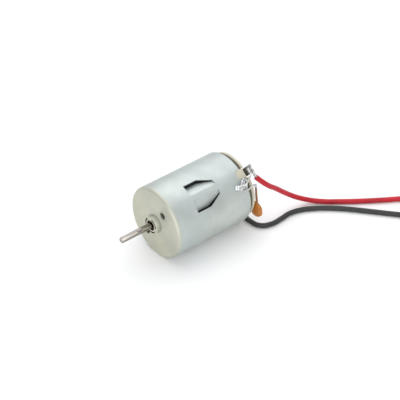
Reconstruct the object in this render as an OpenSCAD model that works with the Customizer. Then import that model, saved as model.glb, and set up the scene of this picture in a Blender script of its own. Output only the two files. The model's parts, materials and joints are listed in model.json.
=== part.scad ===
// Small brushed motor in a round steel can, with a louvred side, a moulded end bell,
// a suppression capacitor and two insulated leads. The origin is on the shaft's axis at
// the can's front face. +X points out along the shaft and +Z up; the can lies on its side.

/* [Can] */
// Outside diameter of the drawn steel can
can_d = 24.2; // [21:0.1:30]
// Length from the front face to the rear rim
can_len = 29.3; // [28.5:0.1:36]
// Thickness of the can's sheet
can_wall = 0.9; // [0.6:0.05:1.1]
// Radius of the rounded edge around the front face
nose_r = 1.0; // [0.4:0.1:1.6]
// Outside diameter of the boss that holds the front bearing
boss_d = 6.0; // [5.6:0.1:8]
// How far the boss stands out of the front face
boss_h = 1.65; // [1.2:0.05:3]
// Diameter of the circle through the two mounting holes
hole_pcd = 13.0; // [11:0.1:16]
// Diameter of each mounting hole
hole_d = 2.5; // [1.5:0.1:3]
// Turn of the louvres, mounting holes and terminals about the shaft, from level
feature_angle = 53; // [40:1:65]

/* [Louvres] */
// Distance from the front face to the louvres
louvre_front = 9.1; // [7:0.1:11]
// Length of each louvre along the can
louvre_len = 10.0; // [8:0.1:12]
// Length of the straight part of a louvre's free edge
louvre_straight = 5.3; // [4:0.1:6]
// Half width of the ridge between the two louvres
ridge_half = 0.95; // [0.8:0.05:1.6]
// Distance from the ridge's middle to a louvre's free edge
louvre_half = 4.8; // [4:0.05:5.2]
// Distance from the ridge's middle to the narrow end's corner
louvre_tip = 2.4; // [2:0.05:3]
// Inward bend of the louvre flaps, in degrees
flap_bend = 24; // [15:1:28]

/* [Magnets] */
// Radial thickness of each magnet
magnet_t = 2.5; // [1.8:0.1:3]
// Length of the magnets
magnet_len = 18; // [14:0.5:20]
// Arc that each magnet covers, in degrees
magnet_arc = 128; // [110:1:130]

/* [Shaft] */
// Diameter of the shaft
shaft_d = 2.0; // [1.5:0.1:2.6]
// Length of shaft in front of the can's front face
shaft_out = 13.3; // [8:0.1:20]
// Length of the flat at the shaft's end
flat_len = 6.1; // [3:0.1:8]
// Depth of the flat
flat_depth = 0.2; // [0.1:0.05:0.25]
// Radial running gap between the shaft and its bearings
running_gap = 0.03; // [0.01:0.01:0.08]

/* [Armature] */
// Air gap between the armature and the magnets
air_gap = 0.4; // [0.35:0.05:0.8]
// Distance from the front face to the stack of plates
stack_front = 6.6; // [6:0.1:8]
// Number of plates in the stack
plate_count = 24; // [16:1:25]
// Thickness of each plate
plate_t = 0.5; // [0.35:0.05:0.5]
// Varnish gap between plates
plate_gap = 0.03; // [0.02:0.01:0.05]
// Width of each tooth's stem
tooth_w = 3.4; // [2.6:0.1:3.8]
// Depth of each pole shoe
shoe_t = 1.2; // [1:0.1:1.5]
// Height of the windings past each end of the stack
end_turn = 2.4; // [1.8:0.1:2.6]

/* [Commutator] */
// Diameter over the copper bars
commutator_d = 4.9; // [4.4:0.1:5.4]
// Length of the copper bars
bar_len = 4.6; // [4.2:0.1:4.8]
// Thickness of the copper bars
bar_t = 0.55; // [0.4:0.05:0.6]
// Width of each carbon brush around the commutator
brush_w = 2.2; // [1.6:0.1:2.4]
// Length of each brush along the shaft
brush_len = 2.6; // [2:0.1:2.8]
// Depth of each brush from the bar to its arm
brush_depth = 1.6; // [1.2:0.1:2]
// Thickness of the spring strip of the brush arms
arm_t = 0.2; // [0.15:0.05:0.3]

/* [End bell] */
// How far the end bell stands out of the rear rim
bell_out = 1.2; // [0.8:0.1:2]
// How far the end bell's flange stands behind its plate
flange_h = 1.5; // [1.2:0.1:1.6]
// Thickness of the end bell's skirt inside the can
bell_wall = 1.2; // [0.8:0.1:1.6]
// Width of the end bell's key tabs
key_w = 3.2; // [2.4:0.1:4]
// Depth of the rim notches that the key tabs fill
key_depth = 1.9; // [1.4:0.1:2.4]
// Gap between a key tab's notch and the crimp beside it
crimp_gap = 0.2; // [0.1:0.05:0.6]
// Diameter of each bearing
bearing_d = 4.2; // [3.8:0.1:4.6]
// Width of the terminal tabs
terminal_w = 2.7; // [2:0.1:3]
// Thickness of the terminal tabs
terminal_t = 0.5; // [0.4:0.05:0.6]

/* [Leads] */
// Outside diameter of each lead's insulation
lead_d = 1.7; // [1.2:0.1:1.9]
// Diameter of the twisted bare strands
strand_d = 0.9; // [0.6:0.1:1]
// Diameter of the capacitor's disc
capacitor_d = 5.6; // [4.5:0.1:6]
// Thickness of the capacitor's disc
capacitor_t = 2.0; // [1.6:0.1:2.4]

/* [Hidden] */
$fn = 64;

// Gap between pieces that are pressed or slipped together
press_gap = 0.02;
// Gap between the end bell and the can
seat_gap = 0.05;
// Gap between a louvre flap and the edge it was sheared from
shear_gap = 0.1;
// Gap between a brush and the commutator
brush_gap = 0.05;
// Axial play at each end of the shaft
end_play = 0.15;

can_r = can_d / 2;
can_in = can_r - can_wall;
boss_r = boss_d / 2;
boss_face = 0.6;
boss_open = 1.75;
boss_corner = 0.4;
stake_in = boss_r - 0.8;
stake_out = boss_r - 0.3;
stake_arc = 76;
hinge_sink = 0.03;
crimp_w = 1.3;
crimp_t = 0.3;
crimp_turn = asin((key_w / 2 + crimp_gap + crimp_w / 2) / can_in);
bearing_r = min(bearing_d / 2, boss_r - can_wall + 0.05 - press_gap);
shaft_r = shaft_d / 2;
fit_r = shaft_r + press_gap;
bearing_bore = shaft_r + running_gap;

magnet_out = can_in - seat_gap;
magnet_in = magnet_out - magnet_t;
rotor_r = magnet_in - air_gap;
core_r = 3.4;
coil_in = core_r + 0.2;
shoe_in = rotor_r - shoe_t;
shoe_arc = 100;
plate_pitch = plate_t + plate_gap;
stack_rear = stack_front + plate_count * plate_pitch - plate_gap;
insulator_t = 0.4;
wire_front = stack_front - end_turn;
wire_rear = stack_rear + end_turn;
magnet_front = (stack_front + stack_rear - magnet_len) / 2;

bearing_len = 3.0;
front_bearing_rear = bearing_len - boss_h + boss_face;
front_washer_rear = front_bearing_rear + end_play + 0.4;

bell_r = can_in - seat_gap;
bell_lip = 0.45;
key_top = sqrt(can_r * can_r - key_w * key_w / 4) - seat_gap;
bell_plate = 0.5;
bell_rear = can_len + bell_out;
flange_rear = bell_rear + flange_h;
flange_front = flange_rear - 0.95;
flange_in = bell_r - 1.55;
bell_inner = can_len - bell_plate;
skirt_front = can_len - 4.5;
bell_boss_r = bearing_r + 0.9;
bell_boss_h = 1.6;
rear_bearing_front = bell_inner - 0.5;
window_out = 7.6;
shaft_rear = bell_rear + bell_boss_h - 0.3;

commutator_r = commutator_d / 2;
bar_in = commutator_r - bar_t;
bars_front = wire_rear + 0.6;
bars_rear = bars_front + bar_len;
core_end = bars_rear + 0.3;
ring_len = 0.7;
brush_front = bars_rear - ring_len - 0.25 - brush_len;
brush_back = commutator_r + brush_gap + brush_depth;
arm_w = brush_len + 0.4;
arm_mid = brush_front + brush_len / 2;
arm_stop_v = brush_back + 2.2;

terminal_in = can_r - 3.5;
terminal_bend = bell_rear + 0.9;
terminal_flange = 5.1;
terminal_slope = 15;
terminal_hole_u = can_r + 0.1;
arm_root_u = terminal_in - 0.1;
arm_root_v = terminal_w / 2 + 0.15;
shaft_flat_turn = 60;
shaft_chamfer = 0.14;
// The oil groove just inside the front bearing
groove_front = boss_face - boss_h;
groove_rear = groove_front + 0.65;
groove_depth = 0.2;

// The surface that the motor and its leads lie on
table_z = -12.1;
wire_d = 0.5;
// A place at the rear: how far behind the end bell, how far outside the can's radius, and
// the turn about the shaft from level
function at_rear(place) = let (r = can_r + place[1])
    [-bell_rear - place[0], r * cos(place[2]), r * sin(place[2])];

capacitor_at = at_rear([2.8, -0.84, -25.5]);

// Routes of the wires at the rear, as such places
red_strand_route = [[2.1, 0.28, 51.5], [2.7, 0.14, 46.5], [3.0, 0.01, 42], [3.5, -0.11, 35]];
black_strand_route = [
    [2.1, 0.26, -127], [2.6, 0.47, -121.5], [2.9, 0.33, -115.5], [2.9, -0.19, -109]
];
can_leg_route = [
    [2.7, -1.15, -14], [2.5, -1.28, -5], [2.3, -1.32, 7.5], [2.1, -0.8, 18],
    [1.8, 0.0, 26.5], [0.7, 0.36, 29], [-0.6, 0.36, 27.5], [-1.9, 0.4, 27],
    [-3.4, 0.36, 28.5], [-4.9, 0.24, 34]
];
negative_leg_route = [
    [2.8, -2.0, -33], [2.6, -3.1, -45], [2.7, -3.78, -64.5], [2.8, -3.7, -88.5],
    [2.7, -2.74, -110], [2.4, -1.24, -121], [2.1, 0.06, -126.5]
];
ground_route = [
    [1.8, 0.31, 49], [1.2, 1.2, 47], [0.2, 1.55, 43.5], [-0.9, 1.46, 40],
    [-1.9, 1.04, 37], [-3.7, 0.2, 34.5]
];

// Routes of the two leads, from the motor outward
red_route = [
    [-33.6, 9.4, 7.4], [-35.3, 10.8, 5.4], [-37.8, 11.2, 2.9], [-40.9, 10.9, 0.2],
    [-44.3, 10.6, -3.0], [-47.9, 10.6, -6.2], [-51.7, 11.2, -9.0], [-55.2, 12.8, -10.7],
    [-58.6, 15.6, -11.25], [-62.2, 18.6, -11.25], [-66.0, 21.6, -11.25],
    [-70.0, 24.5, -11.25], [-74.2, 27.4, -11.25], [-78.5, 30.2, -11.25],
    [-83.0, 33.2, -11.25], [-87.6, 36.2, -11.25], [-92.3, 39.4, -11.25]
];
black_route = [
    [-33.4, -4.4, -11.25], [-33.6, 0.0, -11.25], [-33.3, 4.6, -11.25],
    [-33.1, 8.4, -11.25], [-34.2, 11.7, -11.25], [-37.4, 13.3, -11.25],
    [-41.6, 13.3, -11.25], [-45.7, 13.0, -11.25], [-49.7, 14.0, -11.25],
    [-53.2, 15.9, -11.25], [-56.6, 18.4, -11.25], [-60.2, 21.7, -11.25],
    [-63.5, 25.3, -11.25], [-66.8, 29.2, -11.25], [-70.0, 33.0, -11.25],
    [-73.1, 36.6, -11.25], [-76.3, 40.2, -11.25], [-79.4, 43.7, -11.25],
    [-82.6, 47.2, -11.25]
];
red_coil_at = [-98.5, 30.5];
black_coil_at = [-74.5, 54.5];
coil_mid_r = 9.35;
coil_band = 4.9;
tie_w = 2.4;
tie_t = 0.5;

// Turns a shape drawn around Z so that it is drawn around the shaft, front up
module along_shaft() {
    rotate([90, 0, 90]) children();
}

// As along_shaft, with X through the louvres' ridge and the positive terminal
module at_feature(turn = 0) {
    along_shaft() rotate([0, 0, feature_angle + turn]) children();
}

module disc(r, front, rear) {
    translate([0, 0, -rear]) cylinder(r = r, h = rear - front);
}

module ring(r_out, r_in, front, rear) {
    difference() {
        disc(r_out, front, rear);
        disc(r_in, front - 1, rear + 1);
    }
}

// A sector between two radii, centred on X
module arc(r_out, r_in, span, front, rear) {
    rotate([0, 0, -span / 2]) translate([0, 0, -rear]) rotate_extrude(angle = span)
        translate([r_in, 0]) square([r_out - r_in, rear - front]);
}

// A block from u0 to u1 outward, centred across
module block(u0, u1, width, front, rear) {
    translate([u0, -width / 2, -rear]) cube([u1 - u0, width, rear - front]);
}

// Pushes an outline of distance behind the front face against offset outward
module outward(r_from, r_to) {
    translate([r_from, 0, 0]) rotate([0, 90, 0]) linear_extrude(r_to - r_from) children();
}

// A profile of radius against height, with its outer front corner rounded
module rounded_post(r, h, corner) {
    union() {
        square([r - corner, h]);
        square([r, h - corner]);
        translate([r - corner, h - corner]) circle(corner);
    }
}

function unit(a) = a / norm(a);
function heading(path, i) = unit(path[min(i + 1, len(path) - 1)] - path[max(i - 1, 0)]);
function hoop(path, i, r, sides, up) =
    let (t = heading(path, i), s = unit(cross(t, up)), n = cross(s, t))
    [for (k = [0:sides - 1]) path[i] + r * (cos(360 * k / sides) * s + sin(360 * k / sides) * n)];

// A round tube swept along a path
module wire(path, d, up = [0, 0, 1], sides = 8) {
    last = len(path) - 1;
    points = [for (i = [0:last]) each hoop(path, i, d / 2, sides, up)];
    walls = [
        for (i = [0:last - 1], k = [0:sides - 1])
            let (a = i * sides + k, b = i * sides + (k + 1) % sides)
            each [[a, b, b + sides], [a, b + sides, a + sides]]
    ];
    near_end = [for (k = [0:sides - 1]) sides - 1 - k];
    far_end = [for (k = [0:sides - 1]) last * sides + k];
    polyhedron(points, concat(walls, [near_end, far_end]));
}

// ---- Can ----

module louvre_outline(side, shrink = 0) {
    front = louvre_front + shrink;
    rear = louvre_front + louvre_len - shrink;
    polygon([
        [front, side * ridge_half], [front, side * (louvre_half - shrink)],
        [louvre_front + louvre_straight, side * (louvre_half - shrink)],
        [rear, side * (louvre_tip - shrink)], [rear, side * ridge_half]
    ]);
}

// A piece of the wall, sheared out and bent inward about the ridge's edge
module louvre_flap(side) {
    hinge = [sqrt(can_r * can_r - ridge_half * ridge_half), side * ridge_half, 0];
    translate(hinge - [hinge_sink, 0, 0]) rotate([0, 0, side * flap_bend]) translate(-hinge)
        intersection() {
            ring(can_r, can_in, louvre_front, louvre_front + louvre_len);
            outward(can_in - 3, can_r + 1) louvre_outline(side, shear_gap);
        }
}

// A rectangle of distance behind the front face, with round corners at its front end
module key_outline(width, front, rear) {
    corner = 1;
    union() {
        translate([front + corner, -width / 2]) square([rear - front - corner, width]);
        translate([front, corner - width / 2]) square([rear - front, width - 2 * corner]);
        for (side = [-1, 1]) translate([front + corner, side * (width / 2 - corner)])
            circle(corner);
    }
}

module can_shell() {
    difference() {
        union() {
            translate([0, 0, -can_len]) rotate_extrude() rounded_post(can_r, can_len, nose_r);
            translate([0, 0, -can_wall]) rotate_extrude()
                rounded_post(boss_r, can_wall + boss_h, boss_corner);
        }
        translate([0, 0, -can_len - 1]) rotate_extrude()
            rounded_post(can_in, can_len + 1 - can_wall, max(nose_r - can_wall, 0.3));
        disc(bearing_r + press_gap, boss_face - boss_h, can_wall + 1);
        disc(boss_open, -boss_h - 1, 0);
    }
}

// A lip at the rim, bent over the end bell's shoulder
module crimp() {
    block(can_in + 0.02, can_in + 0.4, crimp_w, can_len - 0.3, can_len + crimp_t);
    block(can_in - bell_lip, can_in + 0.4, crimp_w, can_len + 0.02, can_len + crimp_t);
}

module can() color("#b6bdbc") {
    difference() {
        along_shaft() can_shell();
        along_shaft() for (turn = [40, 168, 280]) rotate([0, 0, turn])
            arc(stake_out, stake_in, stake_arc, -boss_h - 1, boss_face - boss_h - 0.1);
        at_feature() for (side = [-1, 1]) {
            translate([side * hole_pcd / 2, 0, 0]) disc(hole_d / 2, -1, can_wall + 1);
            outward(can_in - 3, can_r + 1) louvre_outline(side);
        }
        for (turn = [0, 180]) at_feature(turn) outward(can_in - 1, can_r + 1)
            key_outline(key_w, can_len - key_depth, can_len + 1);
    }
    at_feature() for (side = [-1, 1]) louvre_flap(side);
    for (turn = [0, 180], side = [-1, 1]) at_feature(turn + side * crimp_turn) crimp();
}

// ---- Bearings, magnets and end bell ----

module front_bearing() color("#8a6a45") along_shaft()
    ring(bearing_r, bearing_bore, front_bearing_rear - bearing_len, front_bearing_rear);

module rear_bearing() color("#8a6a45") along_shaft()
    ring(bearing_r, bearing_bore, rear_bearing_front, rear_bearing_front + bearing_len);

module magnet(turn) color("#4a4a4c") at_feature(turn)
    arc(magnet_out, magnet_in, magnet_arc, magnet_front, magnet_front + magnet_len);

module magnet_left() magnet(90);
module magnet_right() magnet(-90);

// A sprung strip that spreads the magnets apart, opposite the louvres
module magnet_spring() color("#9a9fa3") {
    half = 90 - magnet_arc / 2 - 2;
    front = magnet_front + 2;
    rear = magnet_front + magnet_len - 2;
    at_feature(180) {
        arc(magnet_out, magnet_out - 0.4, 2 * half, front, rear);
        for (side = [-1, 1]) rotate([0, 0, side * (half - 1.5)])
            block(magnet_in + 0.6, magnet_out - 0.2, 0.4, front, rear);
    }
}

// Two windows in the end bell's plate, one on each side of a brush arm's rib
module bell_windows() {
    for (side = [-1, 1]) rotate([0, 0, side * 30])
        arc(window_out, bell_boss_r + 0.9, 28, bell_inner - 1, bell_rear + 1);
}

// The wall and flange around the end bell's plate, with a groove in front of the flange
module bell_flange() {
    rotate_extrude() polygon([
        [flange_in, 0.1 - bell_rear], [bell_r - bell_lip, 0.1 - bell_rear],
        [bell_r - bell_lip, -flange_front], [bell_r, -flange_front],
        [bell_r, 0.2 - flange_rear], [bell_r - 0.2, -flange_rear], [flange_in, -flange_rear]
    ]);
}

module end_bell() color("#e6e1cf") {
    difference() {
        along_shaft() {
            ring(bell_r, bell_r - bell_wall, skirt_front, can_len);
            disc(bell_r, bell_inner, can_len);
            disc(bell_r - bell_lip, can_len - 0.1, bell_rear);
            bell_flange();
            translate([0, 0, -bell_inner]) rotate([180, 0, 0]) rotate_extrude()
                rounded_post(bell_boss_r, bell_rear + bell_boss_h - bell_inner, 0.4);
            disc(bell_boss_r, rear_bearing_front, bell_inner + 0.1);
        }
        along_shaft() {
            disc(bearing_r + press_gap, rear_bearing_front - 1,
                rear_bearing_front + bearing_len + press_gap);
            disc(shaft_r + 0.4, rear_bearing_front, bell_rear + bell_boss_h + 1);
        }
        for (turn = [0, 180]) at_feature(turn) {
            block(terminal_in - press_gap, terminal_in + terminal_t + press_gap,
                terminal_w + 2 * press_gap, bell_inner - 1, bell_rear + 1);
            block(flange_in - 0.5, bell_r + 1, terminal_w + 0.8, bell_rear + 0.4, flange_rear + 1);
            rotate([0, 0, 90]) bell_windows();
        }
    }
    for (turn = [0, 180]) at_feature(turn) {
        outward(bell_r - 0.5, key_top)
            key_outline(key_w - 2 * seat_gap, can_len - key_depth + seat_gap, bell_rear);
        // Rib that the brush arm meets when it is lifted off
        translate([-1.2, arm_stop_v, 0]) block(0, 2.4, 0.9, arm_mid, bell_inner + 0.1);
    }
}

// ---- Terminals and brushes ----

module terminal(turn) color("#c9c4b4") at_feature(turn) {
    difference() {
        union() {
            block(terminal_in, terminal_in + terminal_t, terminal_w, arm_mid, terminal_bend);
            translate([terminal_in + terminal_t / 2, 0, -terminal_bend])
                rotate([0, terminal_slope, 0]) {
                    rotate([90, 0, 0]) cylinder(d = terminal_t, h = terminal_w, center = true);
                    translate([0, -terminal_w / 2, -terminal_t / 2])
                        cube([terminal_flange, terminal_w, terminal_t]);
                }
        }
        translate([terminal_hole_u, 0, -bell_rear - 4]) cylinder(d = 1.1, h = 4);
        translate([terminal_in + terminal_flange + 0.2, 0, -bell_rear - 4])
            cylinder(d = 1.1, h = 4);
    }
}

module terminal_positive() terminal(0);
module terminal_negative() terminal(180);

// A flat strip on edge, from one point to another
module strip(from, to) {
    along = to - from;
    translate(from) rotate(atan2(along.y, along.x)) translate([0, -arm_t / 2])
        square([norm(along), arm_t]);
    translate(to) circle(d = arm_t);
}

module brush_arm(turn) color("#c08a4a") at_feature(turn) {
    path = [
        [arm_root_u, arm_root_v], [arm_root_u - 2.2, brush_back + arm_t / 2],
        [-2.0, brush_back + arm_t / 2], [-2.7, brush_back + 0.7]
    ];
    translate([0, 0, -arm_mid - arm_w / 2]) linear_extrude(arm_w)
        for (i = [0:len(path) - 2]) strip(path[i], path[i + 1]);
}

module brush_arm_positive() brush_arm(0);
module brush_arm_negative() brush_arm(180);

module brush(turn) color("#3a3a3c") at_feature(turn) difference() {
    translate([-brush_w / 2, commutator_r - 0.3, -brush_front - brush_len])
        cube([brush_w, brush_back - commutator_r + 0.3, brush_len]);
    disc(commutator_r + brush_gap, brush_front - 1, brush_front + brush_len + 1);
}

module brush_positive() brush(0);
module brush_negative() brush(180);

// ---- Capacitor, legs and solder ----

module capacitor() color("#c47a2c") translate(capacitor_at) rotate([0, 90, 0])
    translate([0, 0, -capacitor_t / 2]) rotate_extrude() {
        edge = capacitor_t / 2;
        square([capacitor_d / 2 - edge, capacitor_t]);
        translate([capacitor_d / 2 - edge, edge]) intersection() {
            circle(edge);
            translate([-edge, -edge]) square(2 * edge);
        }
    }

module capacitor_can_leg() color("#b98a5a")
    wire([for (p = can_leg_route) at_rear(p)], wire_d, [1, 0, 0.3]);

module capacitor_negative_leg() color("#b98a5a")
    wire([for (p = negative_leg_route) at_rear(p)], wire_d, [1, 0, 0]);

module ground_wire() color("#d5d8da")
    wire([for (p = ground_route) at_rear(p)], wire_d, [0, 1, -1]);

module solder_at_terminal(turn) color("#dfe2e4") at_feature(turn)
    translate([terminal_hole_u - 0.1, 0, -terminal_bend - 1.0]) sphere(d = 2.0);

module solder_positive() solder_at_terminal(0);
module solder_negative() solder_at_terminal(180);

// A dome of solder whose flat base is sunk a little into the can's wall
module solder_dome(behind, turn, r) {
    along_shaft() rotate([0, 0, turn]) intersection() {
        translate([can_r - r / 2, 0, -behind]) sphere(r = r);
        block(can_r - 0.35, can_r + r, 2 * r + 1, behind - r - 1, behind + r + 1);
    }
}

module solder_can() color("#dfe2e4") {
    solder_dome(can_len - 3.5, 35, 1.5);
    solder_dome(can_len - 0.8, 33.5, 0.7);
}

// ---- Armature ----

module wedge(span, reach) {
    polygon([
        [0, 0], reach * [cos(span / 2), -sin(span / 2)],
        [1.5 * reach, 0], reach * [cos(span / 2), sin(span / 2)]
    ]);
}

module shaft() color("#c9c9cb") along_shaft() difference() {
    union() {
        disc(shaft_r, shaft_chamfer - shaft_out, shaft_rear);
        translate([0, 0, shaft_out - shaft_chamfer])
            cylinder(r1 = shaft_r, r2 = shaft_r - shaft_chamfer, h = shaft_chamfer);
    }
    rotate([0, 0, shaft_flat_turn])
        block(shaft_r - flat_depth, shaft_d, 2 * shaft_d, -shaft_out - 1, flat_len - shaft_out);
    ring(shaft_d, shaft_r - groove_depth, groove_front, groove_rear);
}

// The three-toothed outline of a plate, or of the insulators without their shoes
module plate_outline(margin = 0, shoes = true) {
    difference() {
        union() {
            circle(core_r + margin);
            for (tooth = [0:2]) rotate(120 * tooth) {
                translate([0, -tooth_w / 2 - margin]) square([shoe_in + 0.3, tooth_w + 2 * margin]);
                if (shoes) intersection() {
                    difference() {
                        circle(rotor_r);
                        circle(shoe_in);
                    }
                    wedge(shoe_arc, 2 * rotor_r);
                }
            }
        }
        circle(fit_r);
    }
}

module laminations() color("#7d8086") along_shaft()
    for (i = [0:plate_count - 1]) translate([0, 0, -stack_front - i * plate_pitch - plate_t])
        linear_extrude(plate_t) plate_outline();

module insulator(front) color("#b03a2e") along_shaft()
    translate([0, 0, -front - insulator_t]) linear_extrude(insulator_t)
        plate_outline(0.1, false);

module insulator_front() insulator(stack_front - insulator_t - press_gap);
module insulator_rear() insulator(stack_rear + press_gap);

function reverse(list) = [for (i = [len(list) - 1:-1:0]) list[i]];

// One side of a coil's outline seen along the shaft, from the core outward
function winding_edge(side) = [
    [coil_in, side * (tooth_w / 2 + 0.7)], [coil_in + 1.2, side * (tooth_w / 2 + 2.1)],
    [shoe_in - 1.3, side * (tooth_w / 2 + 2.1)], [shoe_in, side * (tooth_w / 2 + 0.9)]
];

// One coil around one tooth, with rounded turns at each end of the stack
module winding(tooth) color("#a5562e") along_shaft() rotate([0, 0, 120 * tooth])
    difference() {
        intersection() {
            translate([0, 0, -wire_rear]) linear_extrude(wire_rear - wire_front)
                intersection() {
                    polygon(concat(winding_edge(1), reverse(winding_edge(-1))));
                    circle(shoe_in - 0.1);
                }
            translate([0, 0, -(wire_front + wire_rear) / 2]) rotate([0, 90, 0])
                linear_extrude(shoe_in) winding_side();
        }
        translate([0, 0, -stack_rear - insulator_t - 0.1])
            translate([0, -tooth_w / 2 - 0.12, 0])
            cube([rotor_r, tooth_w + 0.24, stack_rear - stack_front + 2 * insulator_t + 0.2]);
    }

// The coil's outline seen along its tooth
module winding_side() {
    length = wire_rear - wire_front;
    width = tooth_w + 4.2;
    corner = end_turn - insulator_t - 0.4;
    union() {
        square([length - 2 * corner, width], center = true);
        square([length, width - 2 * corner], center = true);
        for (x = [-1, 1], y = [-1, 1])
            translate([x * (length / 2 - corner), y * (width / 2 - corner)]) circle(corner);
    }
}

module winding_1() winding(0);
module winding_2() winding(1);
module winding_3() winding(2);

module commutator_core() color("#5b3a29") along_shaft() {
    ring(bar_in - press_gap, fit_r, stack_rear + insulator_t + 2 * press_gap, core_end);
    ring(coil_in - 0.2, fit_r, bars_front - 0.5, bars_front - press_gap);
}

module commutator_bars() color("#b87333") along_shaft() for (bar = [0:2])
    rotate([0, 0, 120 * bar + 60]) {
        arc(commutator_r, bar_in, 112, bars_front, bars_rear);
        block(commutator_r - 0.2, commutator_r + 1.7, 1.4, bars_front, bars_front + 0.5);
    }

module commutator_ring() color("#d9d2bd") along_shaft()
    ring(commutator_r + 0.6, commutator_r + press_gap, bars_rear - ring_len, bars_rear);

module front_spacer() color("#d8d8d2") along_shaft()
    ring(shaft_r + 0.9, fit_r, front_washer_rear + press_gap,
        stack_front - insulator_t - 2 * press_gap);

module front_washer() color("#8f9296") along_shaft()
    ring(shaft_r + 1.1, fit_r, front_washer_rear - 0.4, front_washer_rear);

module rear_washer() color("#8f9296") along_shaft()
    ring(shaft_r + 1.1, fit_r, core_end + press_gap, rear_bearing_front - end_play);

// ---- Leads ----

module red_strands() color("#b87333") wire([for (p = red_strand_route) at_rear(p)], strand_d);
module black_strands() color("#b87333") wire([for (p = black_strand_route) at_rear(p)], strand_d);
module red_lead() color("#c8323c") wire(red_route, lead_d);
module black_lead() color("#2c2d2f") wire(black_route, lead_d);

module coil(at) {
    translate([at.x, at.y, table_z]) rotate_extrude()
        translate([coil_mid_r - coil_band / 2, 0]) square([coil_band, lead_d]);
}

module red_coil() color("#c8323c") coil(red_coil_at);
module black_coil() color("#2c2d2f") coil(black_coil_at);

// A band that bridges the turns of a coil
module tie(at, turn) {
    translate([at.x, at.y, table_z]) rotate([0, 0, turn]) difference() {
        translate([coil_mid_r - coil_band / 2 - tie_t, -tie_w / 2, 0])
            cube([coil_band + 2 * tie_t, tie_w, lead_d + tie_t]);
        difference() {
            translate([0, 0, -1]) cylinder(r = coil_mid_r + coil_band / 2, h = lead_d + 1);
            translate([0, 0, -2]) cylinder(r = coil_mid_r - coil_band / 2, h = lead_d + 3);
        }
    }
}

module red_tie() color("#e8e8e4") tie(red_coil_at, 200);
module black_tie() color("#e8e8e4") tie(black_coil_at, 60);

can();
front_bearing();
magnet_left();
magnet_right();
magnet_spring();
end_bell();
rear_bearing();
terminal_positive();
terminal_negative();
brush_arm_positive();
brush_arm_negative();
brush_positive();
brush_negative();
capacitor();
capacitor_can_leg();
capacitor_negative_leg();
ground_wire();
solder_positive();
solder_negative();
solder_can();
shaft();
laminations();
insulator_front();
insulator_rear();
winding_1();
winding_2();
winding_3();
commutator_core();
commutator_bars();
commutator_ring();
front_spacer();
front_washer();
rear_washer();
red_strands();
red_lead();
red_coil();
red_tie();
black_strands();
black_lead();
black_coil();
black_tie();
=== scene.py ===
"""Looks of a small brushed motor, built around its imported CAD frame. Lengths are in metres."""
import json
import math

import bmesh
import bpy
from mathutils import Matrix, Vector, noise


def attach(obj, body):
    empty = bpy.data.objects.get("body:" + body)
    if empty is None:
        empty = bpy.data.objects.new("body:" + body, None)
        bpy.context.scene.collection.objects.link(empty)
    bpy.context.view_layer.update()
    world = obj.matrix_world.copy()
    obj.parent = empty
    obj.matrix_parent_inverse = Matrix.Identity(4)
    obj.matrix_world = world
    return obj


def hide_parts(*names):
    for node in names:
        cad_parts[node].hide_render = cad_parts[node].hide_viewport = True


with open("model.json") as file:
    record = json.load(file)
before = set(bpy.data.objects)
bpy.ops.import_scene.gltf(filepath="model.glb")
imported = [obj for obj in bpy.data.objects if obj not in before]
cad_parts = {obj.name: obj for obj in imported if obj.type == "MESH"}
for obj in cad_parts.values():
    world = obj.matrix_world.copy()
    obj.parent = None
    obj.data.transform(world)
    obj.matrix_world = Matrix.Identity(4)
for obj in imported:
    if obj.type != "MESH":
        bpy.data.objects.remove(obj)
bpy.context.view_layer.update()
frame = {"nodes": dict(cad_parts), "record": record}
nodes = frame["nodes"]
MM = 0.001
ROOT = "motor_body"
ROTOR = "rotor"
TABLE_Z = -12.1 * MM

# ---- Camera ----

CAMERA_AT = Vector((0.23205, 0.30292, 0.30941))
CAMERA_YAW = -2.26156
CAMERA_PITCH = -0.66678
CAMERA_LENS = 141.2


def make_camera():
    data = bpy.data.cameras.new("camera")
    data.lens = CAMERA_LENS
    data.clip_end = 20
    camera = bpy.data.objects.new("camera", data)
    bpy.context.scene.collection.objects.link(camera)
    level = math.cos(CAMERA_PITCH)
    forward = Vector((
        level * math.cos(CAMERA_YAW), level * math.sin(CAMERA_YAW), math.sin(CAMERA_PITCH),
    ))
    camera.rotation_euler = forward.to_track_quat("-Z", "Y").to_euler()
    camera.location = CAMERA_AT
    bpy.context.scene.camera = camera


# ---- Materials ----

def principled(name, colour, metallic, roughness):
    material = bpy.data.materials.new(name)
    material.use_nodes = True
    shader = material.node_tree.nodes["Principled BSDF"]
    shader.inputs["Base Color"].default_value = (*colour, 1)
    shader.inputs["Metallic"].default_value = metallic
    shader.inputs["Roughness"].default_value = roughness
    return material, material.node_tree, shader


def grain(tree, scale, detail=4.0, stretch=(1, 1, 1)):
    """A noise value over the surface, with its scale in cycles per metre and a stretch per axis."""
    place = tree.nodes.new("ShaderNodeTexCoord")
    mapping = tree.nodes.new("ShaderNodeMapping")
    mapping.inputs["Scale"].default_value = stretch
    texture = tree.nodes.new("ShaderNodeTexNoise")
    texture.inputs["Scale"].default_value = scale
    texture.inputs["Detail"].default_value = detail
    tree.links.new(place.outputs["Object"], mapping.inputs["Vector"])
    tree.links.new(mapping.outputs["Vector"], texture.inputs["Vector"])
    return texture.outputs["Fac"]


def ramp(tree, value, stops):
    """Colours along a value from 0 to 1."""
    node = tree.nodes.new("ShaderNodeValToRGB")
    elements = node.color_ramp.elements
    while len(elements) < len(stops):
        elements.new(0.5)
    for element, (position, colour) in zip(elements, stops):
        element.position = position
        element.color = (*colour, 1)
    tree.links.new(value, node.inputs["Fac"])
    return node.outputs["Color"]


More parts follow.
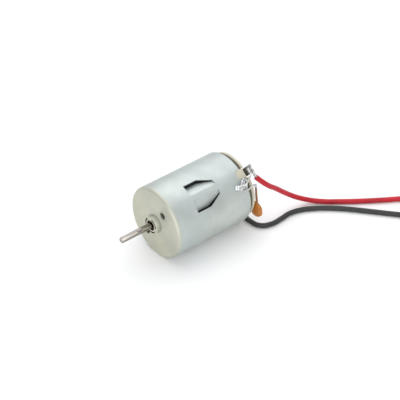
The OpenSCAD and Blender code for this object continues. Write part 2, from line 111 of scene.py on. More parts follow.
def spread(tree, value, low, high):
    """Maps the middle of a noise value to the range from low to high."""
    node = tree.nodes.new("ShaderNodeMapRange")
    node.inputs["From Min"].default_value = 0.3
    node.inputs["From Max"].default_value = 0.7
    node.inputs["To Min"].default_value = low
    node.inputs["To Max"].default_value = high
    tree.links.new(value, node.inputs["Value"])
    return node.outputs["Result"]


def blend_colours(tree, kind, factor, a, b):
    node = tree.nodes.new("ShaderNodeMix")
    node.data_type = "RGBA"
    node.blend_type = kind
    if isinstance(factor, float):
        node.inputs["Factor"].default_value = factor
    else:
        tree.links.new(factor, node.inputs["Factor"])
    for socket, value in ((node.inputs["A"], a), (node.inputs["B"], b)):
        target = [s for s in node.inputs if s.name == socket.name and s.type == "RGBA"][0]
        if isinstance(value, tuple):
            target.default_value = (*value, 1)
        else:
            tree.links.new(value, target)
    return [s for s in node.outputs if s.type == "RGBA"][0]


def bump(tree, shader, height, distance, strength=1.0):
    """Adds relief of that depth on top of any that the shader already has."""
    node = tree.nodes.new("ShaderNodeBump")
    node.inputs["Strength"].default_value = strength
    node.inputs["Distance"].default_value = distance
    tree.links.new(height, node.inputs["Height"])
    links = shader.inputs["Normal"].links
    if links:
        tree.links.new(links[0].from_socket, node.inputs["Normal"])
    tree.links.new(node.outputs["Normal"], shader.inputs["Normal"])


def along_x(tree, start, end):
    """A value that rises from 0 to 1 between two places along the shaft."""
    place = tree.nodes.new("ShaderNodeTexCoord")
    parts = tree.nodes.new("ShaderNodeSeparateXYZ")
    node = tree.nodes.new("ShaderNodeMapRange")
    node.inputs["From Min"].default_value = start
    node.inputs["From Max"].default_value = end
    tree.links.new(place.outputs["Object"], parts.inputs["Vector"])
    tree.links.new(parts.outputs["X"], node.inputs["Value"])
    return node.outputs["Result"]


def zone(tree, x_from, x_to, r_from, r_to):
    """1 between two places along the shaft and two radii from its axis, and 0 elsewhere."""
    place = tree.nodes.new("ShaderNodeTexCoord")
    parts = tree.nodes.new("ShaderNodeSeparateXYZ")
    tree.links.new(place.outputs["Object"], parts.inputs["Vector"])
    radius = calculate(tree, "SQRT", calculate(
        tree, "ADD",
        calculate(tree, "MULTIPLY", parts.outputs["Y"], parts.outputs["Y"]),
        calculate(tree, "MULTIPLY", parts.outputs["Z"], parts.outputs["Z"]),
    ))
    inside = calculate(tree, "LESS_THAN", radius, r_to)
    within = calculate(tree, "MULTIPLY", inside, calculate(tree, "GREATER_THAN", radius, r_from))
    past = calculate(tree, "GREATER_THAN", parts.outputs["X"], x_from)
    short = calculate(tree, "LESS_THAN", parts.outputs["X"], x_to)
    return calculate(tree, "MULTIPLY", within, calculate(tree, "MULTIPLY", past, short))


def calculate(tree, operation, *values):
    node = tree.nodes.new("ShaderNodeMath")
    node.operation = operation
    for socket, value in zip(node.inputs, values):
        if isinstance(value, float):
            socket.default_value = value
        else:
            tree.links.new(value, socket)
    return node.outputs["Value"]


def paint_shade(tree, shader, where, colour):
    """Paints shade: multiplies the colour by a dark one where the factor is 1."""
    below = shader.inputs["Base Color"].links[0].from_socket
    darkened = blend_colours(tree, "MULTIPLY", where, below, colour)
    tree.links.new(darkened, shader.inputs["Base Color"])


def tint(colour, factor):
    return tuple(min(1.0, c * factor) for c in colour)


def paint(tree, shader, value, base, *stops):
    """Colours the shader along a value, each stop being a position and a factor of the base."""
    colours = [(position, tint(base, factor)) for position, factor in stops]
    tree.links.new(ramp(tree, value, colours), shader.inputs["Base Color"])


def zinc_steel():
    base = (0.515, 0.562, 0.545)
    material, tree, shader = principled("zinc_steel", base, 0.78, 0.5)
    clouds = ramp(tree, grain(tree, 130, 5), [(0.32, tint(base, 0.93)), (0.68, tint(base, 1.07))])
    streaks = ramp(
        tree, grain(tree, 60, 6, (22, 1.2, 1.2)), [(0.3, (0.965, 0.97, 0.975)), (0.7, (1, 1, 1))],
    )
    warm = ramp(tree, grain(tree, 45, 3), [(0.42, (1, 1, 1)), (0.75, (1.0, 0.965, 0.91))])
    colour = blend_colours(tree, "MULTIPLY", 1.0, clouds, streaks)
    colour = blend_colours(tree, "MULTIPLY", 1.0, colour, warm)
    # Painted light: towards its front face the can is tinted warm, for the light that falls on that
    # face.
    front = along_x(tree, -1.6 * MM, -0.5 * MM)
    colour = blend_colours(tree, "MULTIPLY", front, colour, (1.05, 0.97, 0.85))
    tree.links.new(colour, shader.inputs["Base Color"])
    tree.links.new(spread(tree, grain(tree, 220, 4), 0.44, 0.58), shader.inputs["Roughness"])
    # Painted shade: the walls inside the hub's opening, in front of the bearing, are darkened
    # almost to black.
    paint_shade(tree, shader, zone(tree, 0.5 * MM, 1.56 * MM, 0.0, 2.8 * MM), (0.07, 0.06, 0.045))
    # Painted shadow: a ring on the front face around the foot of the hub is darkened.
    paint_shade(tree, shader, zone(tree, -0.05 * MM, 0.4 * MM, 2.9 * MM, 3.3 * MM), (0.72, 0.75, 0.74))
    bump(tree, shader, grain(tree, 900, 3, (9, 1, 1)), 0.004 * MM)
    bump(tree, shader, grain(tree, 2600, 2), 0.003 * MM)
    return material


def ground_steel():
    base = (0.43, 0.405, 0.375)
    material, tree, shader = principled("ground_steel", base, 1.0, 0.14)
    rings = grain(tree, 500, 3, (14, 0.6, 0.6))
    # Painted reflection: streaks along the shaft, darker and lighter, stand in for lines of the
    # surroundings reflected in it.
    reflection_streaks = ramp(
        tree, grain(tree, 650, 2, (0.08, 3, 3)),
        [(0.38, (0.60, 0.58, 0.56)), (0.60, (1.12, 1.12, 1.12))],
    )
    colour = ramp(tree, rings, [(0.3, tint(base, 0.88)), (0.7, tint(base, 1.1))])
    tree.links.new(blend_colours(tree, "MULTIPLY", 1.0, colour, reflection_streaks), shader.inputs["Base Color"])
    tree.links.new(spread(tree, rings, 0.08, 0.2), shader.inputs["Roughness"])
    bump(tree, shader, rings, 0.002 * MM)
    return material


def plain_metal(name, base, roughness, scale=700, depth=0.004):
    """A metal with fine mottling, for small inner pieces."""
    material, tree, shader = principled(name, base, 1.0, roughness)
    mottle = grain(tree, scale, 4)
    paint(tree, shader, mottle, base, (0.3, 0.85), (0.7, 1.12))
    fine = grain(tree, scale * 2, 3)
    rough = spread(tree, fine, roughness * 0.8, roughness * 1.25)
    tree.links.new(rough, shader.inputs["Roughness"])
    bump(tree, shader, mottle, depth * MM)
    return material


def solder_metal():
    base = (0.66, 0.67, 0.68)
    material, tree, shader = principled("solder", base, 1.0, 0.2)
    crust = grain(tree, 1500, 5)
    paint(tree, shader, crust, base, (0.38, 0.6), (0.58, 1.12))
    tree.links.new(spread(tree, crust, 0.12, 0.34), shader.inputs["Roughness"])
    bump(tree, shader, crust, 0.008 * MM)
    return material


def moulding(name, base, roughness, scatter=0.0, scale=500, depth=0.006):
    """A moulded or pressed material with slight colour change and a fine texture."""
    material, tree, shader = principled(name, base, 0.0, roughness)
    shader.inputs["Subsurface Weight"].default_value = scatter
    shader.inputs["Subsurface Scale"].default_value = 0.6 * MM
    shader.inputs["Subsurface Radius"].default_value = (1.0, 0.7, 0.45)
    tone = grain(tree, scale * 0.4, 4)
    paint(tree, shader, tone, base, (0.3, 0.93), (0.7, 1.05))
    fine = grain(tree, scale * 5, 3)
    rough = spread(tree, fine, roughness * 0.85, roughness * 1.15)
    tree.links.new(rough, shader.inputs["Roughness"])
    bump(tree, shader, fine, depth * MM)
    return material


def bell_nylon():
    """The end bell's nylon, with painted shade in the groove in front of its flange."""
    material = moulding("cream_nylon_bell", (0.55, 0.52, 0.41), 0.42, 0.1)
    tree = material.node_tree
    shader = tree.nodes["Principled BSDF"]
    # Painted shade: the groove in front of the flange is darkened.
    groove = zone(tree, -31.02 * MM, -29.3 * MM, 10.4 * MM, 10.9 * MM)
    paint_shade(tree, shader, groove, (0.16, 0.15, 0.13))
    return material


def lead_skin(name, base, roughness):
    """Soft extruded insulation: slight waves along its length, dust and a waxy sheen."""
    material, tree, shader = principled(name, base, 0.0, roughness)
    shader.inputs["Specular IOR Level"].default_value = 0.32
    tone = grain(tree, 260, 4)
    paint(tree, shader, tone, base, (0.3, 0.86), (0.7, 1.12))
    rough = spread(tree, grain(tree, 900, 3), roughness * 0.85, roughness * 1.2)
    tree.links.new(rough, shader.inputs["Roughness"])
    bump(tree, shader, grain(tree, 420, 2), 0.02 * MM)
    bump(tree, shader, grain(tree, 3500, 2), 0.004 * MM)
    return material


def capacitor_coat():
    base = (0.43, 0.14, 0.009)
    material, tree, shader = principled("capacitor_coat", base, 0.0, 0.32)
    shader.inputs["Coat Weight"].default_value = 0.35
    shader.inputs["Coat Roughness"].default_value = 0.15
    tone = grain(tree, 420, 4)
    paint(tree, shader, tone, base, (0.3, 0.82), (0.7, 1.18))
    bump(tree, shader, grain(tree, 600, 3), 0.03 * MM)
    return material


def make_materials():
    return {
        "zinc_steel": zinc_steel(),
        "ground_steel": ground_steel(),
        "solder": solder_metal(),
        "capacitor_coat": capacitor_coat(),
        "sintered_bronze": plain_metal("sintered_bronze", (0.22, 0.135, 0.075), 0.42, 2600, 0.012),
        "spring_steel": plain_metal("spring_steel", (0.50, 0.52, 0.54), 0.3),
        "plated_brass": plain_metal("plated_brass", (0.47, 0.475, 0.46), 0.3, 420, 0.002),
        "phosphor_bronze": plain_metal("phosphor_bronze", (0.70, 0.43, 0.22), 0.26),
        "tinned_wire": plain_metal("tinned_wire", (0.62, 0.61, 0.60), 0.22, 1200, 0.006),
        "silicon_steel": plain_metal("silicon_steel", (0.25, 0.26, 0.28), 0.4, 900, 0.006),
        "bare_copper": plain_metal("bare_copper", (0.70, 0.34, 0.19), 0.25, 800, 0.005),
        "enamelled_copper": plain_metal("enamelled_copper", (0.55, 0.20, 0.07), 0.24, 900, 0.003),
        "cream_nylon": moulding("cream_nylon", (0.55, 0.53, 0.41), 0.42, 0.1),
        "ferrite": moulding("ferrite", (0.045, 0.045, 0.05), 0.55, 0, 1400, 0.015),
        "carbon": moulding("carbon", (0.03, 0.03, 0.033), 0.5, 0, 2200, 0.01),
        "phenolic": moulding("phenolic", (0.10, 0.045, 0.02), 0.4),
        "insulator_board": moulding("insulator_board", (0.36, 0.06, 0.035), 0.6, 0, 1500, 0.015),
        "coated_leg": moulding("coated_leg", (0.24, 0.095, 0.03), 0.34, 0, 700, 0.02),
        "tie_nylon": moulding("tie_nylon", (0.80, 0.80, 0.77), 0.4, 0.1),
        "red_pvc": lead_skin("red_pvc", (0.47, 0.012, 0.022), 0.45),
        "black_pvc": lead_skin("black_pvc", (0.032, 0.034, 0.033), 0.42),
    }


# ---- Making pieces ----

def finish_piece(piece, slot, body=ROOT, replaced=()):
    """Gives a piece its material, its body and the CAD nodes it stands for."""
    piece.data.materials.clear()
    piece.data.materials.append(materials[slot])
    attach(piece, body)
    if replaced:
        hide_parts(*replaced)
    return piece


def mesh_piece(name, work):
    """Turns a bmesh into an object."""
    bmesh.ops.recalc_face_normals(work, faces=work.faces)
    data = bpy.data.meshes.new(name)
    work.to_mesh(data)
    work.free()
    piece = bpy.data.objects.new(name, data)
    bpy.context.scene.collection.objects.link(piece)
    return piece


def spline_piece(name, points, diameter, ends=True, steps=6):
    """A round wire on one smooth curve through its points."""
    data = bpy.data.curves.new(name, "CURVE")
    data.dimensions = "3D"
    data.bevel_depth = diameter / 2
    data.bevel_resolution = 4
    data.resolution_u = steps
    data.use_fill_caps = ends
    spline = data.splines.new("BEZIER")
    spline.bezier_points.add(len(points) - 1)
    for knot, point in zip(spline.bezier_points, points):
        knot.co = point
        knot.handle_left_type = "AUTO"
        knot.handle_right_type = "AUTO"
    piece = bpy.data.objects.new(name, data)
    bpy.context.scene.collection.objects.link(piece)
    return piece


# ---- Leads ----

LEAD_D = 1.7 * MM
COIL_R = 10.9 * MM
COIL_PITCH = 1.75 * MM
COIL_STEPS = 16
TIE_R = 9.2 * MM  # the middle of the turns that the tie holds

RED_ROUTE = [
    (-0.0336, 0.0094, 0.0074), (-0.0353, 0.0108, 0.0054), (-0.0378, 0.0112, 0.0029),
    (-0.0409, 0.0109, 0.0002), (-0.0443, 0.0106, -0.0030), (-0.0479, 0.0106, -0.0062),
    (-0.0517, 0.0112, -0.0090), (-0.0552, 0.0128, -0.0107), (-0.0586, 0.0156, -0.01125),
    (-0.0622, 0.0186, -0.01125), (-0.0660, 0.0216, -0.01125), (-0.0700, 0.0245, -0.01125),
    (-0.0742, 0.0274, -0.01125), (-0.0785, 0.0302, -0.01125), (-0.0830, 0.0332, -0.01125),
    (-0.0876, 0.0362, -0.01125), (-0.0923, 0.0394, -0.01125),
]
BLACK_ROUTE = [
    (-0.0334, -0.0044, -0.01125), (-0.0336, 0.0000, -0.01125), (-0.0333, 0.0046, -0.01125),
    (-0.0331, 0.0084, -0.01125), (-0.0342, 0.0117, -0.01125), (-0.0374, 0.0133, -0.01125),
    (-0.0416, 0.0133, -0.01125), (-0.0457, 0.0130, -0.01125), (-0.0497, 0.0140, -0.01125),
    (-0.0532, 0.0159, -0.01125), (-0.0566, 0.0184, -0.01125), (-0.0602, 0.0217, -0.01125),
    (-0.0635, 0.0253, -0.01125), (-0.0668, 0.0292, -0.01125), (-0.0700, 0.0330, -0.01125),
    (-0.0731, 0.0366, -0.01125), (-0.0763, 0.0402, -0.01125), (-0.0794, 0.0437, -0.01125),
    (-0.0826, 0.0472, -0.01125),
]
LEADS = {
    "red": {
        "route": RED_ROUTE, "centre": (-0.0985, 0.0305), "start": 55, "turns": 1.79,
        "sense": 1, "tie_at": 200,
    },
    "black": {
        "route": BLACK_ROUTE, "centre": (-0.0745, 0.0545), "start": 221.8, "turns": 1.72,
        "sense": -1, "tie_at": 60,
    },
}


def coil_points(lead):
    """The spiral of a lead's coil, each turn inside the one before."""
    points = []
    count = round(lead["turns"] * COIL_STEPS)
    for i in range(1, count + 1):
        turn = i * lead["turns"] / count
        angle = math.radians(lead["start"] + lead["sense"] * 360 * turn)
        r = COIL_R - COIL_PITCH * turn
        x, y = lead["centre"]
        points.append((x + r * math.cos(angle), y + r * math.sin(angle), TABLE_Z + LEAD_D / 2))
    return points


def rounded_bar_loop(work, along, across, half_x, half_y, corner, width, thick, centre):
    """A flat strap around a rectangle with round corners, standing on the plane of across."""
    up = along.cross(across)
    rings = []
    for side in range(4):
        sx, sy = ((1, 1), (-1, 1), (-1, -1), (1, -1))[side]
        for step in range(5):
            angle = math.radians(90 * side + 90 * step / 4)
            out = Vector((math.cos(angle), math.sin(angle)))
            rings.append((Vector((sx * (half_x - corner), sy * (half_y - corner))), out, corner))
    loops = []
    for middle, out, r in rings:
        loop = []
        for reach, shift in ((r, -1), (r, 1), (r + thick, 1), (r + thick, -1)):
            flat = middle + out * reach
            place = centre + across * flat.x + up * flat.y + along * shift * width / 2
            place.z = max(place.z, TABLE_Z + 0.01 * MM)
            loop.append(work.verts.new(place))
        loops.append(loop)
    for i, loop in enumerate(loops):
        following = loops[(i + 1) % len(loops)]
        for k in range(4):
            work.faces.new((loop[k], loop[(k + 1) % 4], following[(k + 1) % 4], following[k]))


def make_tie(colour, lead):
    """The strap around a coil's turns, with the small block that locks it."""
    angle = math.radians(lead["tie_at"])
    outward = Vector((math.cos(angle), math.sin(angle), 0))
    along = Vector((-math.sin(angle), math.cos(angle), 0))
    thick = 0.3 * MM
    half_x = LEAD_D + 0.02 * MM
    half_y = LEAD_D / 2 + 0.02 * MM
    centre = Vector((*lead["centre"], TABLE_Z + LEAD_D / 2 + 0.02 * MM)) + outward * TIE_R
    work = bmesh.new()
    rounded_bar_loop(work, along, outward, half_x, half_y, half_y * 0.9, 2.4 * MM, thick, centre)
    lock = centre + Vector((0, 0, half_y + 0.55 * MM)) + outward * 0.5 * MM
    turn = Matrix.Rotation(angle, 4, "Z")
    size = Matrix.Diagonal((1.8 * MM, 2.9 * MM, 1.0 * MM, 1))
    bmesh.ops.create_cube(work, size=1, matrix=Matrix.Translation(lock) @ turn @ size)
    piece = mesh_piece(f"{colour}_lead_tie", work)
    soften(piece, 0.12 * MM, 2)
    for vert in piece.data.vertices:
        vert.co.z = max(vert.co.z, TABLE_Z)
    return finish_piece(piece, "tie_nylon", ROOT, [f"{colour}_tie"])


def make_bare_tip(colour, path):
    """The stripped and tinned strands at a lead's far end."""
    end = Vector(path[-1])
    heading = (end - Vector(path[-2])).normalized()
    points = [end - heading * 0.5 * MM, end + heading * 1.2 * MM, end + heading * 2.6 * MM]
    piece = stranded_piece(f"{colour}_lead_tip", points, 0.9 * MM, strands=7, turns=2.2)
    return finish_piece(piece, "tinned_wire")


def make_leads():
    for colour, lead in LEADS.items():
        path = lead["route"] + coil_points(lead)
        cable = spline_piece(f"{colour}_insulated_lead", path, LEAD_D, steps=8)
        finish_piece(cable, f"{colour}_pvc", ROOT, [f"{colour}_lead", f"{colour}_coil"])
        tie = make_tie(colour, lead)
        tip = make_bare_tip(colour, path)


def soften(piece, width, segments=2, angle=30):
    """Rounds a piece's edges that are sharper than an angle in degrees."""
    bevel = piece.modifiers.new("round_edges", "BEVEL")
    bevel.width = width
    bevel.segments = segments
    bevel.limit_method = "ANGLE"
    bevel.angle_limit = math.radians(angle)
    bevel.harden_normals = False
    apply_modifiers(piece)
    smooth(piece)


def apply_modifiers(piece):
    """Bakes a piece's modifiers into its mesh."""
    bpy.context.view_layer.update()
    graph = bpy.context.evaluated_depsgraph_get()
    made = bpy.data.meshes.new_from_object(piece.evaluated_get(graph))
    piece.modifiers.clear()
    piece.data = made


def smooth(piece, angle=35):
    piece.data.shade_smooth()
    piece.data.set_sharp_from_angle(angle=math.radians(angle))


def follow(points, steps):
    """Points of a smooth curve through the given ones, steps to each stretch."""
    path = []
    guard = [points[0]] + list(points) + [points[-1]]
    for i in range(1, len(guard) - 2):
        a, b, c, d = (Vector(guard[i + k]) for k in (-1, 0, 1, 2))
        for step in range(steps):
            t = step / steps
            path.append(0.5 * (
                2 * b + (c - a) * t + (2 * a - 5 * b + 4 * c - d) * t * t
                + (3 * b - a - 3 * c + d) * t * t * t
            ))
    path.append(Vector(points[-1]))
    return path


def add_tube(work, path, radius, sides=8, closed=False):
    """A round tube along a path, whose frame is carried along so that it doesn't twist."""
    count = len(path)
    side = None
    rings = []
    for i, point in enumerate(path):
        before = path[i - 1] if i or closed else path[0]
        after = path[(i + 1) % count] if i < count - 1 or closed else path[-1]
        heading = (after - before).normalized()
        if side is None:
            side = heading.orthogonal().normalized()
        side = (side - heading * side.dot(heading)).normalized()
        across = heading.cross(side)
        r = radius(i / (count - 1)) if callable(radius) else radius
        rings.append([
            work.verts.new(point + r * (math.cos(a) * side + math.sin(a) * across))
            for a in (2 * math.pi * k / sides for k in range(sides))
        ])
    for i in range(count if closed else count - 1):
        ring, following = rings[i], rings[(i + 1) % count]
        for k in range(sides):
            beside = (k + 1) % sides
            work.faces.new((ring[k], ring[beside], following[beside], following[k]))
    if not closed:
        work.faces.new(rings[0][::-1])
        work.faces.new(rings[-1])


def stranded_piece(name, points, diameter, strands, turns):
    """Fine wires twisted into a bundle along a path."""
    path = follow(points, 10)
    fine = diameter / 6.4
    reach = diameter / 2 - fine
    work = bmesh.new()
    add_tube(work, path, diameter * 0.3, 8)
    for strand in range(strands):
        side = None
        line = []
        for i, point in enumerate(path):
            heading = (path[min(i + 1, len(path) - 1)] - path[max(i - 1, 0)]).normalized()
            if side is None:
                side = heading.orthogonal().normalized()
            side = (side - heading * side.dot(heading)).normalized()
            across = heading.cross(side)
            angle = 2 * math.pi * (strand / strands + turns * i / (len(path) - 1))
            line.append(point + reach * (math.cos(angle) * side + math.sin(angle) * across))
        add_tube(work, line, fine, 6)
    piece = mesh_piece(name, work)
    smooth(piece, 60)
    return piece


# ---- Pieces made from the CAD's own meshes ----

def softened_copy(node_name, width, segments=2):
    """A CAD piece again, with its sharp edges rounded as a stamping or a moulding has them."""
    node = nodes[node_name]
    data = node.data.copy()
    data.transform(node.matrix_world)
    work = bmesh.new()
    work.from_mesh(data)
    bmesh.ops.remove_doubles(work, verts=work.verts, dist=0.0005 * MM)
    flat = math.radians(0.6)
    bmesh.ops.dissolve_limit(work, angle_limit=flat, verts=work.verts, edges=work.edges)
    work.to_mesh(data)
    work.free()
    piece = bpy.data.objects.new(f"{node_name}_rounded", data)
    bpy.context.scene.collection.objects.link(piece)
    bevel = piece.modifiers.new("round_edges", "BEVEL")
    bevel.width = width
    bevel.segments = segments
    bevel.limit_method = "ANGLE"
    bevel.angle_limit = math.radians(32)
    bevel.use_clamp_overlap = True
    weight = piece.modifiers.new("flat_faces", "WEIGHTED_NORMAL")
    weight.keep_sharp = True
    apply_modifiers(piece)
    piece.data.shade_smooth()
    return finish_piece(piece, slots[node_name], body_names[node_name], [node_name])


ROUNDED = {
    "can": 0.11, "end_bell": 0.09, "shaft": 0.03, "front_bearing": 0.06, "rear_bearing": 0.06,
    "terminal_positive": 0.06, "terminal_negative": 0.06, "magnet_left": 0.15, "magnet_right": 0.15,
    "magnet_spring": 0.04, "brush_arm_positive": 0.03, "brush_arm_negative": 0.03,
    "brush_positive": 0.06, "brush_negative": 0.06, "commutator_core": 0.05,
    "commutator_bars": 0.05, "commutator_ring": 0.05, "front_spacer": 0.05,
    "front_washer": 0.04, "rear_washer": 0.04, "insulator_front": 0.05, "insulator_rear": 0.05,
}


# ---- Wires, capacitor and solder at the rear ----

def place_at(x, r, turn):
    """A point given in millimetres by its distance along the shaft, radius and turn from level."""
    angle = math.radians(turn)
    return Vector((x, r * math.cos(angle), r * math.sin(angle))) * MM


# Each point is (mm along the shaft, mm from its axis, degrees of turn), as place_at takes it.
RED_STRANDS = [(-32.5, 12.3, 52.5), (-33.0, 12.4, 49), (-33.4, 12.15, 43), (-33.9, 11.99, 36)]
BLACK_STRANDS = [
    (-32.6, 12.36, -127), (-33.1, 12.57, -121.5), (-33.4, 12.43, -115.5), (-33.4, 11.91, -109),
]
CAN_LEG = [
    (-33.2, 10.95, -14), (-33.0, 10.82, -5), (-32.8, 10.78, 7.5), (-32.6, 11.3, 18),
    (-32.3, 12.1, 26.5), (-31.2, 12.46, 29), (-29.9, 12.46, 27.5), (-28.6, 12.5, 27),
    (-27.1, 12.46, 28.5), (-25.6, 12.34, 34),
]
NEGATIVE_LEG = [
    (-33.3, 10.1, -33), (-33.1, 9.0, -45), (-33.2, 8.32, -64.5), (-33.3, 8.4, -88.5),
    (-33.2, 9.36, -110), (-32.9, 10.86, -121), (-32.6, 12.16, -126.5),
]
GROUND = [
    (-32.3, 12.41, 49), (-31.7, 13.3, 47), (-30.7, 13.65, 43.5), (-29.6, 13.56, 40),
    (-28.6, 13.14, 37), (-26.8, 12.3, 34.5),
]
SOLDER_LOOP = [
    (-26.4, 12.2, 33), (-26.9, 12.7, 38), (-27.4, 13.1, 42), (-28.2, 13.4, 44.5),
    (-29.0, 13.2, 42), (-29.1, 12.8, 37.5), (-28.6, 12.3, 32.5),
]
DISC_AT = (-33.3, 11.26, -25.5)
DISC_R, DISC_HALF = 2.8, 0.98
BARE_STRANDS_D = 0.95 * MM


def tube_piece(name, points, radius, steps=8, sides=12):
    """A round wire along a smooth curve; radius may change along it."""
    work = bmesh.new()
    add_tube(work, follow([place_at(*p) for p in points], steps), radius, sides)
    piece = mesh_piece(name, work)
    smooth(piece, 60)
    return piece


def make_capacitor():
    """The dipped disc, a little uneven, with the coating that runs up each leg."""
    centre = place_at(*DISC_AT)
    work = bmesh.new()
    bmesh.ops.create_icosphere(work, subdivisions=5, radius=1)
    for vert in work.verts:
        x, y, z = vert.co
        round_r = math.hypot(y, z)
        lens = math.copysign(abs(x) ** 0.85, x)
        wave = 1 + 0.05 * noise.noise(vert.co * 2.1) + 0.02 * noise.noise(vert.co * 5)
        rim = round_r ** 0.9 if round_r > 0 else 0
        scale = rim / round_r if round_r > 0 else 1
        shape = Vector((lens * DISC_HALF, y * scale * DISC_R, z * scale * DISC_R))
        vert.co = centre + shape * wave * MM
    for leg in (CAN_LEG, NEGATIVE_LEG):
        skirt = follow([place_at(*p) for p in leg[:2]], 8)
        add_tube(work, skirt, lambda t: (0.5 - 0.16 * min(1, t * 1.5) ** 0.8) * MM, 14)
    piece = mesh_piece("dipped_disc_capacitor", work)
    smooth(piece, 60)
    return finish_piece(piece, "capacitor_coat", ROOT, ["capacitor"])


def solder_piece(name, drops, replaced, voxel=0.09):
    """Solder that has run together from several drops, each (place, radius in millimetres)."""
    work = bmesh.new()
    for place, size in drops:
        start = len(work.verts)
        bmesh.ops.create_icosphere(work, subdivisions=4, radius=size * MM)
        work.verts.ensure_lookup_table()
        for vert in work.verts[start:]:
            vert.co += place
    piece = mesh_piece(name, work)
    fuse = piece.modifiers.new("fuse", "REMESH")
    fuse.mode = "VOXEL"
    fuse.voxel_size = voxel * MM
    run = piece.modifiers.new("run", "SMOOTH")
    run.iterations = 14
    apply_modifiers(piece)
    for vert in piece.data.vertices:
        lump = noise.noise(vert.co * 1300) * 0.07 + noise.noise(vert.co * 3200) * 0.015
        vert.co += vert.normal * lump * MM
    piece.data.shade_smooth()
    return finish_piece(piece, "solder", ROOT, replaced)


def make_solder():
    solder_piece("solder_at_can", [
        (place_at(-25.1, 12.0, 36.5), 0.8), (place_at(-25.8, 12.05, 35), 1.0),
        (place_at(-26.6, 12.1, 34), 0.95), (place_at(-27.5, 12.1, 34.5), 0.85),
        (place_at(-28.4, 12.05, 33.5), 0.7), (place_at(-27.9, 12.3, 37), 0.75),
        (place_at(-27.5, 12.6, 40), 0.55), (place_at(-28.4, 12.6, 40), 0.5),
    ], ["solder_can"])
    solder_piece("solder_at_leg", [
        (place_at(-32.1, 12.3, 27.5), 0.5), (place_at(-31.6, 12.5, 29), 0.42),
        (place_at(-32.3, 12.2, 25.5), 0.4),
    ], [])
    for side, sign in (("positive", 1), ("negative", -1)):
        turn = 53 if sign > 0 else -127
        solder_piece(f"solder_at_{side}_terminal", [
            (place_at(-32.35, 12.1, turn), 0.85), (place_at(-32.7, 11.9, turn - 3), 0.6),
            (place_at(-32.0, 12.4, turn - 2), 0.6),
        ], [f"solder_{side}"])


def make_rear_wires():
    for colour, route in (("red", RED_STRANDS), ("black", BLACK_STRANDS)):
        points = [place_at(*p) for p in route]
        bare = stranded_piece(
            f"{colour}_bare_strands", points, BARE_STRANDS_D, strands=9, turns=1.6,
        )
        finish_piece(bare, "tinned_wire", ROOT, [f"{colour}_strands"])
    leg = tube_piece("can_leg", CAN_LEG[:5], lambda t: (0.40 - 0.09 * t) * MM)
    finish_piece(leg, "coated_leg", ROOT, ["capacitor_can_leg"])
    end = tube_piece("can_leg_tinned_end", CAN_LEG[3:], 0.26 * MM)
    finish_piece(end, "tinned_wire")
    loop = tube_piece(
        "solder_loop", SOLDER_LOOP, lambda t: (0.42 - 0.12 * math.sin(math.pi * t)) * MM,
    )
    finish_piece(loop, "solder")
    leg = tube_piece("negative_leg", NEGATIVE_LEG, lambda t: (0.31 - 0.06 * min(1, t * 2)) * MM)
    finish_piece(leg, "coated_leg", ROOT, ["capacitor_negative_leg"])
    ground = tube_piece("bare_ground_wire", GROUND, 0.27 * MM)
    finish_piece(ground, "tinned_wire", ROOT, ["ground_wire"])


# ---- Windings ----

WIRE_R = 0.17
COIL_IN, SHOE_IN = 3.75, 6.95
COIL_FRONT, COIL_REAR = -4.2, -21.69


def turn_of_wire(work, tooth, u, half_v, inset):
    """One turn of enamelled wire around a tooth, at radius u along it."""
    angle = math.radians(120 * tooth)
    out = Vector((0, math.cos(angle), math.sin(angle)))
    across = Vector((0, -math.sin(angle), math.cos(angle)))
    half_x = (COIL_FRONT - COIL_REAR) / 2 - WIRE_R - inset
    half_v = half_v - WIRE_R - inset
    corner = min(1.5, half_v - 0.2)
    middle = Vector(((COIL_FRONT + COIL_REAR) / 2, 0, 0))
    path = []
    for quarter, (sx, sv) in enumerate(((1, 1), (-1, 1), (-1, -1), (1, -1))):
        for step in range(5):
            a = math.radians(90 * quarter + 90 * step / 4)
            x = sx * (half_x - corner) + corner * math.cos(a)
            v = sv * (half_v - corner) + corner * math.sin(a)
            wander = 0.03 * math.sin(5 * u + 3 * a + tooth)
            path.append((middle + Vector((x, 0, 0)) + out * (u + wander) + across * v) * MM)
    add_tube(work, path, WIRE_R * MM, 6, closed=True)


def make_winding(tooth):
    """Three layers of turns around a tooth, and the wires to the commutator's hooks."""
    work = bmesh.new()
    count = int((SHOE_IN - COIL_IN) / (2 * WIRE_R))
    for layer in range(3):
        for i in range(count - layer % 2):
            u = COIL_IN + WIRE_R + (i + 0.5 * (layer % 2)) * 2 * WIRE_R
            wide = 2.4 + 1.4 * min(1, (u - 3.6) / 1.2)
            if u > 5.75:
                wide = 3.8 - 1.2 * (u - 5.75) / 1.3
            turn_of_wire(work, tooth, u, wide, layer * 1.7 * WIRE_R)
    for side in (-1, 1):
        hook = 120 * tooth + side * 60
        path = follow([
            place_at(COIL_REAR + 0.3, 4.6, 120 * tooth + side * 12),
            place_at(COIL_REAR - 0.25, 4.4, 120 * tooth + side * 30),
            place_at(COIL_REAR - 0.85, 3.9, hook - side * 14),
            place_at(COIL_REAR - 0.85, 3.75, hook),
        ], 6)
        add_tube(work, path, WIRE_R * MM, 6)
    piece = mesh_piece(f"wound_coil_{tooth + 1}", work)
    smooth(piece, 60)
    return finish_piece(piece, "enamelled_copper", ROTOR, [f"winding_{tooth + 1}"])


# ---- Stage ----

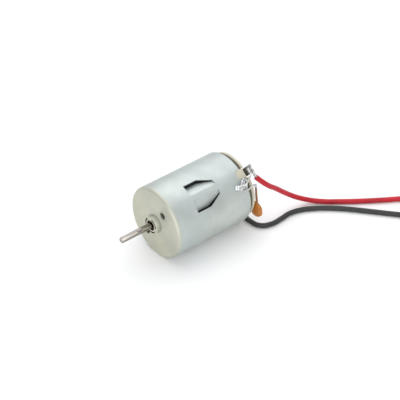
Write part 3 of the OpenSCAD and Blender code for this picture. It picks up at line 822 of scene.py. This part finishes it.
def make_stage():
    bpy.ops.mesh.primitive_plane_add(size=6, location=(0, 0, TABLE_Z))
    floor = bpy.context.object
    floor.name = "floor"
    material, _, _ = principled("floor", (0.9, 0.9, 0.9), 0.0, 0.75)
    floor.data.materials.append(material)

    for name, place, size in (
        ("dark_card", (-0.283, 0.207, 0.487), (0.16, 0.055)),
        ("dark_card_low", (-0.300, 0.520, 0.130), (0.16, 0.09)),
    ):
        bpy.ops.mesh.primitive_plane_add(size=1, location=place)
        card = bpy.context.object
        card.name = name
        card.scale = (*size, 1)
        card.rotation_euler = (-Vector(place)).to_track_quat("Z", "X").to_euler()
        card.visible_camera = False
        card.visible_shadow = False
        black, _, _ = principled(name, (0.01, 0.01, 0.01), 0.0, 0.8)
        card.data.materials.append(black)

    world = bpy.data.worlds.new("studio")
    bpy.context.scene.world = world
    world.use_nodes = True
    tree = world.node_tree
    background = tree.nodes["Background"]
    place = tree.nodes.new("ShaderNodeTexCoord")
    patches = tree.nodes.new("ShaderNodeTexNoise")
    patches.inputs["Scale"].default_value = 2.6
    patches.inputs["Detail"].default_value = 1.0
    tree.links.new(place.outputs["Generated"], patches.inputs["Vector"])
    sky = ramp(
        tree, patches.outputs["Fac"], [(0.40, (0.30, 0.31, 0.32)), (0.52, (0.97, 0.985, 1.0))],
    )
    tree.links.new(sky, background.inputs["Color"])
    background.inputs["Strength"].default_value = 1.05

    for name, place, size, power in (
        ("key_light", (-0.25, -0.22, 0.70), 1.0, 3.6),
        ("front_light", (0.45, 0.55, 0.35), 0.9, 3.2),
    ):
        data = bpy.data.lights.new(name, "AREA")
        data.size = size
        data.energy = power
        light = bpy.data.objects.new(name, data)
        bpy.context.scene.collection.objects.link(light)
        light.location = place
        light.rotation_euler = (-Vector(place)).to_track_quat("-Z", "Y").to_euler()
    bpy.context.scene.view_settings.view_transform = "Standard"


make_camera()
materials = make_materials()
slots = {row["node"]: row["material_slot"] for row in frame["record"]["subparts"]}
body_names = {
    name: body
    for body, members in frame["record"]["behaviour"]["bodies"].items()
    for name in members
}
make_leads()
make_capacitor()
make_solder()
make_rear_wires()
for tooth in range(3):
    make_winding(tooth)
for name, width in ROUNDED.items():
    softened_copy(name, width * MM)
# Of the pieces in cream nylon, only the end bell has painted shade in its groove.
bpy.data.objects["end_bell_rounded"].data.materials[0] = bell_nylon()

for name, node in nodes.items():
    node.data.materials.clear()
    node.data.materials.append(materials[slots[name]])

make_stage()
